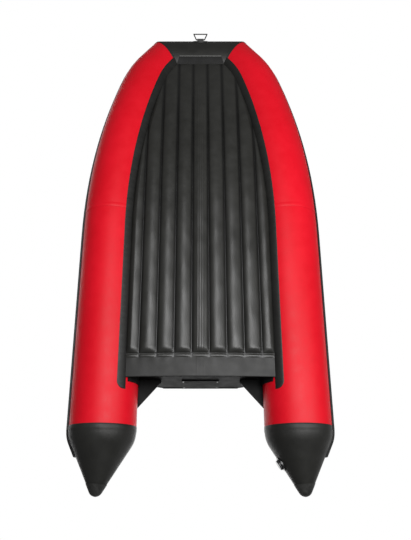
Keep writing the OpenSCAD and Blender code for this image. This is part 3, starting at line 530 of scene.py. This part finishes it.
def mirror_piece(piece, name):
    """A starboard copy of a port piece."""
    mesh = piece.data.copy()
    co = np.zeros(len(mesh.vertices) * 3, np.float32)
    mesh.vertices.foreach_get("co", co)
    co = co.reshape(-1, 3)
    co[:, 0] *= -1
    mesh.vertices.foreach_set("co", co.ravel())
    mesh.flip_normals()
    mesh.update()
    copy = bpy.data.objects.new(name, mesh)
    bpy.context.scene.collection.objects.link(copy)
    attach(copy, "hull")
    return copy


def puckers(angles, distance, reach, depth, waves, seed):
    """Small folds that run away from a seam and die out with distance."""
    rng = np.random.default_rng(seed)
    total = np.zeros_like(angles)
    for n in waves:
        total += (0.6 + 0.4 * np.sin(angles * rng.integers(1, 4) + rng.uniform(0, 6))) * np.sin(
            n * angles + rng.uniform(0, 6)
        )
    return -depth * np.exp(-distance / reach) * (0.5 + 0.5 * total / len(waves))


# ---------------------------------------------------------------- tubes


def side_panel(name, s0, s1, to_mitre):
    """One fabric panel of the port tube, from s0 to s1, gathered a little at its joints."""
    angles, round_u = tube_lines(SKIN_LINES)
    near = [s0 + d for d in (0, 0.004, 0.008, 0.012, 0.018, 0.026, 0.036)]
    stations = sorted(set(near + list(np.arange(s0 + 0.05, s1, 0.016)) + [s1]))
    rows, v = [], []
    for s in stations:
        centre, t = path(s)
        r = TUBE_R + puckers(angles, abs(s - PANEL_S), 0.03, 0.0009, (41, 57, 73), 3)
        r = r - 0.0008 * math.exp(-(((s - PANEL_S) / 0.03) ** 2))
        rows.append(centre + r[:, None] * spoke(angles, t))
        v.append(s)
    if to_mitre:
        start = rows[-1]
        end = mitre_ring(angles, np.full(SKIN_LINES, TUBE_R))
        steps = 14
        for k in range(1, steps + 1):
            w = k / steps
            away = np.linalg.norm(end - start, axis=1) * (1 - w)
            fold = puckers(angles, away, 0.045, 0.0022, (29, 43, 61), 5)
            row = start + w * (end - start) + fold[:, None] * spoke(angles, TURN)
            rows.append(row)
            v.append(s1 + w * STUB)
    return loft(name, rows, round_u, v, RED, flip=True)


def aft_panel(name):
    return side_panel(name, 0.0, PANEL_S, False)


def fore_panel(name):
    return side_panel(name, PANEL_S, SWEEP, True)


def panel_lap(name):
    """The strip of red fabric that covers the joint between the two panels of a side tube."""
    angles, round_u = tube_lines(SKIN_LINES)
    half = LAP / 2
    rows, v = [], []
    for s, lift in ((-half - 0.002, 0.0), (-half, 0.0006), (0, 0.0007), (half, 0.0006), (half + 0.002, 0.0)):
        centre, t = path(PANEL_S + s)
        rows.append(centre + (TUBE_R + lift) * spoke(angles, t))
        v.append(PANEL_S + s)
    return loft(name, rows, round_u, v, RED, flip=True)


def bow_skin():
    """The black bow tube, with its fabric lapped 12 mm over the red tubes at each mitre."""
    lift = 0.0009
    angles, round_u = tube_lines(SKIN_LINES)
    across = mitre_ring(angles, np.full(SKIN_LINES, TUBE_R + lift))
    back = heading(TURN)
    edge = mitre_ring(angles, np.full(SKIN_LINES, TUBE_R)) - BOW_LAP_FOOT * back
    top = across - BOW_LAP * back
    radial = across - np.array([0.0, CORNER[1], CORNER[2]])
    radial[:, 0] = 0
    radial /= np.linalg.norm(radial, axis=1)[:, None]
    rows = [edge, top]
    steps = 60
    for k in range(steps + 1):
        w = k / steps
        x = across[:, 0] * (1 - 2 * w)
        near = np.minimum(np.abs(across[:, 0] - x), np.abs(across[:, 0] + x))
        fold = puckers(angles, near, 0.05, 0.0016, (23, 37, 53), 9)
        row = across + np.minimum(fold + 0.0003, 0.0)[:, None] * radial
        row[:, 0] = x
        rows.append(row)
    mirror = np.array([-1.0, 1.0, 1.0])
    rows += [top * mirror, edge * mirror]
    v = [0.0, 0.001] + [0.013 + k / steps * 2 * CORNER[0] for k in range(steps + 1)] + [0.56, 0.561]
    return loft("bow_skin", rows, round_u, v, BLACK, flip=True)


def turned(z, r, w, angles):
    """A ring of a stern cone at z along its axis, its axis swung by w of its toe and droop."""
    toe, droop = CONE_TOE * w, CONE_DROOP * w
    axis = np.array([math.sin(toe) * math.cos(droop), math.cos(toe) * math.cos(droop), -math.sin(droop)])
    side = np.cross(axis, [0, 0, 1.0])
    side /= np.linalg.norm(side)
    up = np.cross(side, axis)
    a = angles[:, None]
    return axis, PATH_SEAM + z * axis + r * (np.cos(a) * side + np.sin(a) * up)


def cone_profile():
    """Radius of a cone at each distance along its axis, with the shoulder and the blunt tip as arcs."""
    line_r = TUBE_R + CONE_SHOULDER * math.tan(CONE_ANGLE / 2) * math.tan(CONE_ANGLE)
    tip_r = (line_r - CONE_LEN * math.tan(CONE_ANGLE)) / (1 / math.cos(CONE_ANGLE) - math.tan(CONE_ANGLE))
    points = []
    for i in range(9):
        a = CONE_ANGLE * i / 8
        points.append((CONE_SHOULDER * math.sin(a), TUBE_R - CONE_SHOULDER * (1 - math.cos(a))))
    z0, z1 = points[-1][0], CONE_LEN - tip_r + tip_r * math.sin(CONE_ANGLE)
    for k in range(1, 22):
        z = z0 + (z1 - z0) * k / 22
        points.append((z, line_r - z * math.tan(CONE_ANGLE)))
    for i in range(13):
        a = CONE_ANGLE + (math.pi / 2 - CONE_ANGLE) * i / 12
        points.append((CONE_LEN - tip_r + tip_r * math.sin(a), max(tip_r * math.cos(a), 0.0004)))
    return points


def cone_skin(name):
    """A black stern cone: its lap over the red tube, then its own skin to the blunt tip."""
    angles, round_u = tube_lines(CONE_LINES)
    rows, v = [], []
    for f, lift in ((0.0228, 0.0), (0.022, 0.0012), (0.012, 0.0012), (0.002, 0.0012), (-0.004, 0.0009)):
        rows.append(turned(-f, TUBE_R + lift, 0.0, angles)[1])
        v.append(-f)
    for z, r in cone_profile():
        if z < 0.008:
            continue
        w = float(smoothstep(z / 0.07))
        gather = puckers(angles, np.full(CONE_LINES, z), 0.03, 0.0016, (17, 31, 47), 11)
        radius = r + np.where(z < 0.30, gather, -0.0002)
        axis, ring = turned(z, 1.0, w, angles)
        centre = PATH_SEAM + z * axis
        rows.append(centre + radius[:, None] * (ring - centre))
        v.append(z)
    return loft(name, rows, round_u, v, BLACK)


# ---------------------------------------------------------------- floor

LOWER_ANGLE = -math.pi / 2 - TAPE_ANGLE - TAPE_SPAN - math.radians(1.7)
UPPER_ANGLE = math.radians(-152.0)
EDGE_R = TUBE_R + 0.0017
RIPPLE, RIPPLE_PITCH = 0.0006, 0.021
SLACK = 0.0016
BOW_FADE = 0.50
KEEL_HALF, KEEL_FORE = 0.0245, 2.35
KEEL_THICK, RIDGE_TALL = 0.0005, 0.0013


def edge_curve(angle):
    """Points (forward of the seam, half width, height) of the floor's side along the port tube."""
    out = []
    for s in np.linspace(0, SWEEP, 400):
        centre, t = path(s)
        p = centre + EDGE_R * spoke(np.array([angle]), t)[0]
        out.append((SEAM_Y - p[1], p[0], p[2]))
    e = mitre_ring(np.array([angle]), np.array([EDGE_R]))[0]
    out.append((SEAM_Y - e[1], e[0], e[2]))
    return np.array(out)


def bulge_profile(u):
    """Height of an inflated cell across its width, from -1 to 1 at its seams."""
    return np.clip(1 - np.abs(u) ** 2.0, 0, 1) ** 0.72


def floor_edge(upper):
    curve = edge_curve(UPPER_ANGLE if upper else LOWER_ANGLE)
    return curve, curve[-1, 0], curve[-1, 2]


def floor_row(edge, f, x, upper):
    """Heights of one of the floor's skins across x, f metres forward of the cone seams."""
    curve, f_end, z_end = edge
    crown = CROWN_OVER if upper else CROWN_UNDER
    side = 1 if upper else -1
    z0 = FLOOR_Z + (FLOOR_THICK if upper else 0)
    half = np.interp(f, curve[:, 0], curve[:, 1])
    z_side = np.interp(f, curve[:, 0], curve[:, 2])
    t = max(0.0, (f - STRAIGHT) / (f_end - STRAIGHT))
    mid = z0 + (z_end - z0) * t * t
    base = mid + (z_side - mid) * (np.abs(x) / half) ** 2
    cell = np.abs((x / CELL + 0.5) % 1.0 - 0.5) * 2
    number = np.round(x / CELL)
    edge_room = np.clip((half - np.abs(x)) / (CELL * 0.25), 0, 1)
    shape = bulge_profile(cell) * np.sqrt(edge_room)
    into = f - FLOOR_AFT
    if upper:
        end = math.sqrt(min(1.0, into / 0.035))
    elif into < END_BAND:
        end = 0.22 * math.sin(math.pi * into / END_BAND)
    else:
        end = math.sqrt(min(1.0, max(0.0, into - END_CREASE) / 0.026))
    bow = min(1.0, max(0.0, (f_end - f) / BOW_FADE)) ** 0.8
    seam_pull = np.exp(-(1 - cell) * CELL / 2 / 0.012)
    ripple = RIPPLE * np.sin(2 * math.pi * f / RIPPLE_PITCH + number * 2.1) * seam_pull
    slack = SLACK * np.sin(f * 9.0 + number * 1.7) * np.sin(f * 23.0 + x * 11.0)
    return base + ((crown + slack * side) * shape * bow + ripple * side) * end


def floor_skin(name, upper, material):
    edge = floor_edge(upper)
    curve, f_end = edge[:2]
    band = [0, 0.003, 0.006, 0.010, 0.014, 0.018, 0.021, END_BAND]
    rib_ends = [END_CREASE, 0.0275, 0.029, 0.032, 0.037, 0.043, 0.050, 0.058]
    fs = list(FLOOR_AFT + np.array(band + rib_ends))
    fs += list(np.arange(FLOOR_AFT + 0.068, f_end - 0.004, 0.0105)) + [f_end]
    across = np.linspace(-1, 1, 251)
    rows = []
    for f in fs:
        x = across * np.interp(f, curve[:, 0], curve[:, 1])
        rows.append(across_row(x, f, floor_row(edge, f, x, upper)))
    return loft(name, rows, across * 0.42, fs, material, closed=False, flip=upper)


def keel_tape():
    """A reinforcing tape along the middle cell, with four fine ridges."""
    edge = floor_edge(False)
    x = np.linspace(-KEEL_HALF, KEEL_HALF, 71)
    ridges = sum(np.exp(-(((x - c) / 0.0016) ** 2)) for c in RIDGES)
    rows, fs = [], list(np.arange(FLOOR_AFT + 0.036, KEEL_FORE, 0.012))
    for f in fs:
        z = floor_row(edge, f, x, False) - KEEL_THICK - RIDGE_TALL * ridges
        z[[0, -1]] += 0.0006
        rows.append(across_row(x, f, z))
    return loft("keel_strip", rows, x, fs, FLOOR, closed=False)


# ---------------------------------------------------------------- tapes, apron and flap

TAPE_OUTER = -math.pi / 2 - TAPE_ANGLE
TAPE_INNER = -math.radians(135.0)
TAPE_AFT = 0.212
TAPE_CORNER = 0.042
APRON_F = 2.612
APRON_HALF = 0.149
TAPE_LIFT, TAPE_THICK = 0.0006, 0.0036
STRAKE_WIDE, STRAKE_LIFT = 0.053, 0.0008
FLAP_LIFT, FLAP_SAG = 0.0022, 0.0010


def side_tape(name):
    """The welt that joins the floor to a tube: a raised strip with small gathers and a rounded aft end."""
    width = abs(TAPE_INNER - TAPE_OUTER) * TUBE_R
    across = np.linspace(0, 1, 21)
    rows, v = [], []
    near_end = TAPE_AFT + TAPE_CORNER * (1 - np.cos(np.linspace(0, math.pi / 2, 12)))
    stations = list(near_end) + list(np.arange(TAPE_AFT + TAPE_CORNER + 0.007, SWEEP, 0.007)) + [SWEEP]
    steps = 16

    def section(s, cut):
        w = cut / width + (1 - cut / width) * across
        angles = TAPE_OUTER + (TAPE_INNER - TAPE_OUTER) * w
        gather = 0.0004 * math.sin(2 * math.pi * s / 0.019) + 0.0003 * math.sin(2 * math.pi * s / 0.043 + 1.0)
        lip = TAPE_THICK * np.sin(math.pi * np.clip(across, 0, 1)) ** 0.55
        step = 0.0011 if abs(s - PANEL_S - 0.03) < 0.022 else 0.0
        return angles, TUBE_R + TAPE_LIFT + lip + gather * across * (1 - across) * 4 + step * (lip > 0)

    for s in stations:
        into = s - TAPE_AFT
        cut = TAPE_CORNER - math.sqrt(max(0.0, TAPE_CORNER**2 - (TAPE_CORNER - min(into, TAPE_CORNER)) ** 2))
        angles, r = section(s, cut)
        if into < 0.002:
            r = np.full_like(r, TUBE_R + TAPE_LIFT)
        centre, t = path(s)
        rows.append(centre + r[:, None] * spoke(angles, t))
        v.append(s)
    start = rows[-1]
    for k in range(1, steps + 1):
        w = k / steps
        angles, r = section(SWEEP + w * 0.1, 0.0)
        end = mitre_ring(angles, r)
        rows.append(start + w * (end - start))
        v.append(SWEEP + w * 0.1)
    return loft(name, rows, across * width, v, SIDE_TAPE, closed=False, flip=True)


def strake_foot(name):
    """The wide ribbed foot of the rubbing strake, glued under its crest along a side tube."""
    low, high = math.radians(-20.0), math.radians(-4.0)
    across = np.linspace(0, 1, 25)
    angles = low + (high - low) * across
    lip = 0.0052 * np.sin(math.pi * across * 0.62) ** 0.5 - 0.0009 * np.exp(-(((across - 0.45) / 0.05) ** 2))
    rows, v = [], []
    for s in list(np.arange(0.0, SWEEP, 0.012)) + [SWEEP]:
        centre, t = path(s)
        rows.append(centre + (TUBE_R + STRAKE_LIFT + lip)[:, None] * spoke(angles, t))
        v.append(s)
    rows.append(mitre_ring(angles, TUBE_R + STRAKE_LIFT + lip))
    v.append(SWEEP + STUB)
    return loft(name, rows, across * STRAKE_WIDE, v, STRAKE, closed=False)


def on_bow(f, lift):
    """Height of the bow tube's underside at f, lift metres off its fabric."""
    dy = SEAM_Y - f - CORNER[1]
    return CORNER[2] - np.sqrt((TUBE_R + lift) ** 2 - dy**2)


def bow_apron():
    """The floor's fore edge, glued to the underside of the bow tube, narrower to the front."""
    curve = edge_curve(LOWER_ANGLE)
    f0, half0 = curve[-1, 0] - 0.012, curve[-1, 1] + 0.010
    across = np.linspace(-1, 1, 61)
    rows, edge_rows, v = [], [], []
    for w in np.linspace(0, 1, 15):
        f = f0 + (APRON_F - f0) * w
        half = half0 + (APRON_HALF - half0) * w**0.8
        lift = 0.0034 + 0.0003 * np.sin(across * 70) * w - 0.0010 * w
        rows.append(across_row(across * half, f, on_bow(f, lift)))
        v.append(f)
    apron = loft("bow_apron", rows, across * half0, v, APRON, closed=False)
    front = rows[-1]
    for step, lift in ((-0.0025, 0.0028), (-0.0012, 0.0042), (0.0016, 0.0042), (0.0030, 0.0008)):
        row = front.copy()
        row[:, 1] -= step
        row[:, 2] = on_bow(APRON_F + step, lift)
        edge_rows.append(row)
    along = [0, 0.001, 0.004, 0.006]
    edge = loft("bow_apron_edge", edge_rows, across * APRON_HALF, along, EDGE, closed=False)
    return apron, edge


def stern_flap():
    """The flat flap of fabric that covers the joint between the floor and the transom."""
    curve = edge_curve(LOWER_ANGLE)
    half = np.interp(FLOOR_AFT, curve[:, 0], curve[:, 1]) - 0.002
    side_z = np.interp(FLOOR_AFT, curve[:, 0], curve[:, 2])
    across = np.linspace(-1, 1, 181)
    x = across * half
    keel = sum(np.exp(-(((x - c) / 0.0022) ** 2)) for c in RIDGES)
    rows, v = [], []
    for f in np.linspace(FLOOR_AFT + 0.001, FLAP_AFT, 19):
        w = (FLOOR_AFT - f) / (FLOOR_AFT - FLAP_AFT)
        base = FLOOR_Z + (side_z - FLOOR_Z) * across**2
        pull = 0.0009 * np.sin(x * 95.0 + 1.0) * math.exp(-w / 0.25) + 0.0005 * np.sin(x * 21.0 + w * 3.0)
        z = base - FLAP_LIFT - FLAP_SAG * math.sin(math.pi * w) - pull - 0.0009 * keel
        rows.append(across_row(x, f, z))
        v.append(f)
    hem = rows[-1].copy()
    hem[:, 2] += FLAP_HEM
    rows.append(hem)
    v.append(FLAP_AFT - FLAP_HEM)
    flap = loft("stern_flap_sheet", rows, across * half, v, FLAP, closed=False, flip=True)
    return flap, 2 * half


# ---------------------------------------------------------------- build


def build_tubes():
    """The skins of the port tube, its mirrored copies, and the bow tube between them."""
    for make, low, names in (
        (aft_panel, "aft_tube", ("port_aft_skin", "starboard_aft_skin")),
        (fore_panel, "fore_tube", ("port_fore_skin", "starboard_fore_skin")),
        (cone_skin, "cone", ("port_cone_skin", "starboard_cone_skin")),
    ):
        port = make(names[0])
        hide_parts("port_" + low)
        starboard = mirror_piece(port, names[1])
        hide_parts("starboard_" + low)
    lap = panel_lap("port_panel_lap")
    mirror_piece(lap, "starboard_panel_lap")
    bow = bow_skin()
    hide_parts("bow_tube")


def build_floor():
    bottom = floor_skin("floor_bottom", False, FLOOR)
    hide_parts("floor_bottom_skin")
    top = floor_skin("floor_top", True, DECK)
    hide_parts("floor_top_skin")


def build_tapes():
    port = side_tape("port_side_tape")
    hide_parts("port_floor_tape")
    starboard = mirror_piece(port, "starboard_side_tape")
    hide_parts("starboard_floor_tape")
    foot = strake_foot("port_strake_foot")
    mirror_piece(foot, "starboard_strake_foot")
    apron, edge = bow_apron()
    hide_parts("bow_floor_tape")
    keel = keel_tape()
    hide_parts("keel_tape")
    flap, width = stern_flap()
    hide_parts("stern_flap")


def dress_cad_nodes():
    """Gives every CAD node the material of its slot."""
    slots = {part["node"]: part["material_slot"] for part in frame["record"]["subparts"]}
    for name, node in NODES.items():
        material = SLOT_MATERIALS[slots[name]]
        node.data.materials.clear()
        node.data.materials.append(material)


def light_scene():
    """Two soft boxes light the underside, as in the photo; two wide suns light the hull from above."""
    make_world()
    make_floor()
    soft_box("below_key", (0.3, 0.3, -4.6), (1.9, 4.2), 225)
    soft_box("below_port", (2.9, 0.6, -3.7), (1.2, 4.0), 120)
    wide_sun("above_key", (-1.0, -1.5, 5.0), 1.9, 80)
    wide_sun("above_fill", (1.4, 1.2, 4.6), 0.9, 90)
    bpy.context.scene.view_settings.view_transform = "Standard"


make_camera()
light_scene()
dress_cad_nodes()
build_tubes()
build_floor()
build_tapes()
